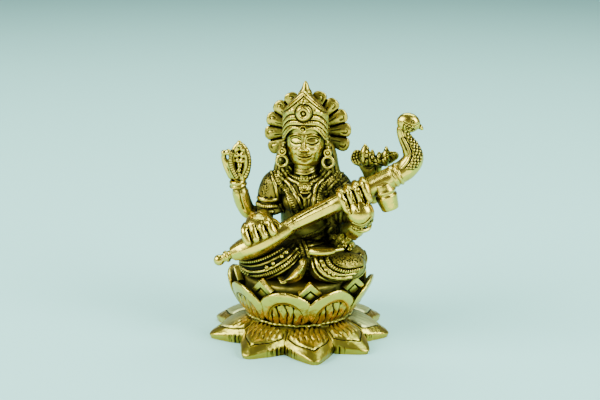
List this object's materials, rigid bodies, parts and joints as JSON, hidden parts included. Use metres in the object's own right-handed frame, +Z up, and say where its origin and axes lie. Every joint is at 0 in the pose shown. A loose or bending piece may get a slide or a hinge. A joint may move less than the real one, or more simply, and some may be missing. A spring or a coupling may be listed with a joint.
{
  "type": "saraswati figure",
  "caption": "Small cast brass figure of a four-armed goddess seated on a double lotus, playing a veena whose neck ends in a peacock.",
  "frame": {"origin": "middle of the lotus's flat underside, on the surface it stands on", "axes": "+Z up from the underside to the crown, -Y out of the figure's face, +X to the viewer's right where the bird's head is"},
  "size_m": [0.0992, 0.0839, 0.12],
  "materials": {
    "figure_brass": "polished cast brass, dark antique patina left in the folds",
    "lotus_brass": "brightly polished cast brass, dark patina left in the grooves"
  },
  "bodies": {
    "root": {"saraswati_figure": "figure_brass", "lotus_base": "lotus_brass"}
  },
  "joints": []
}
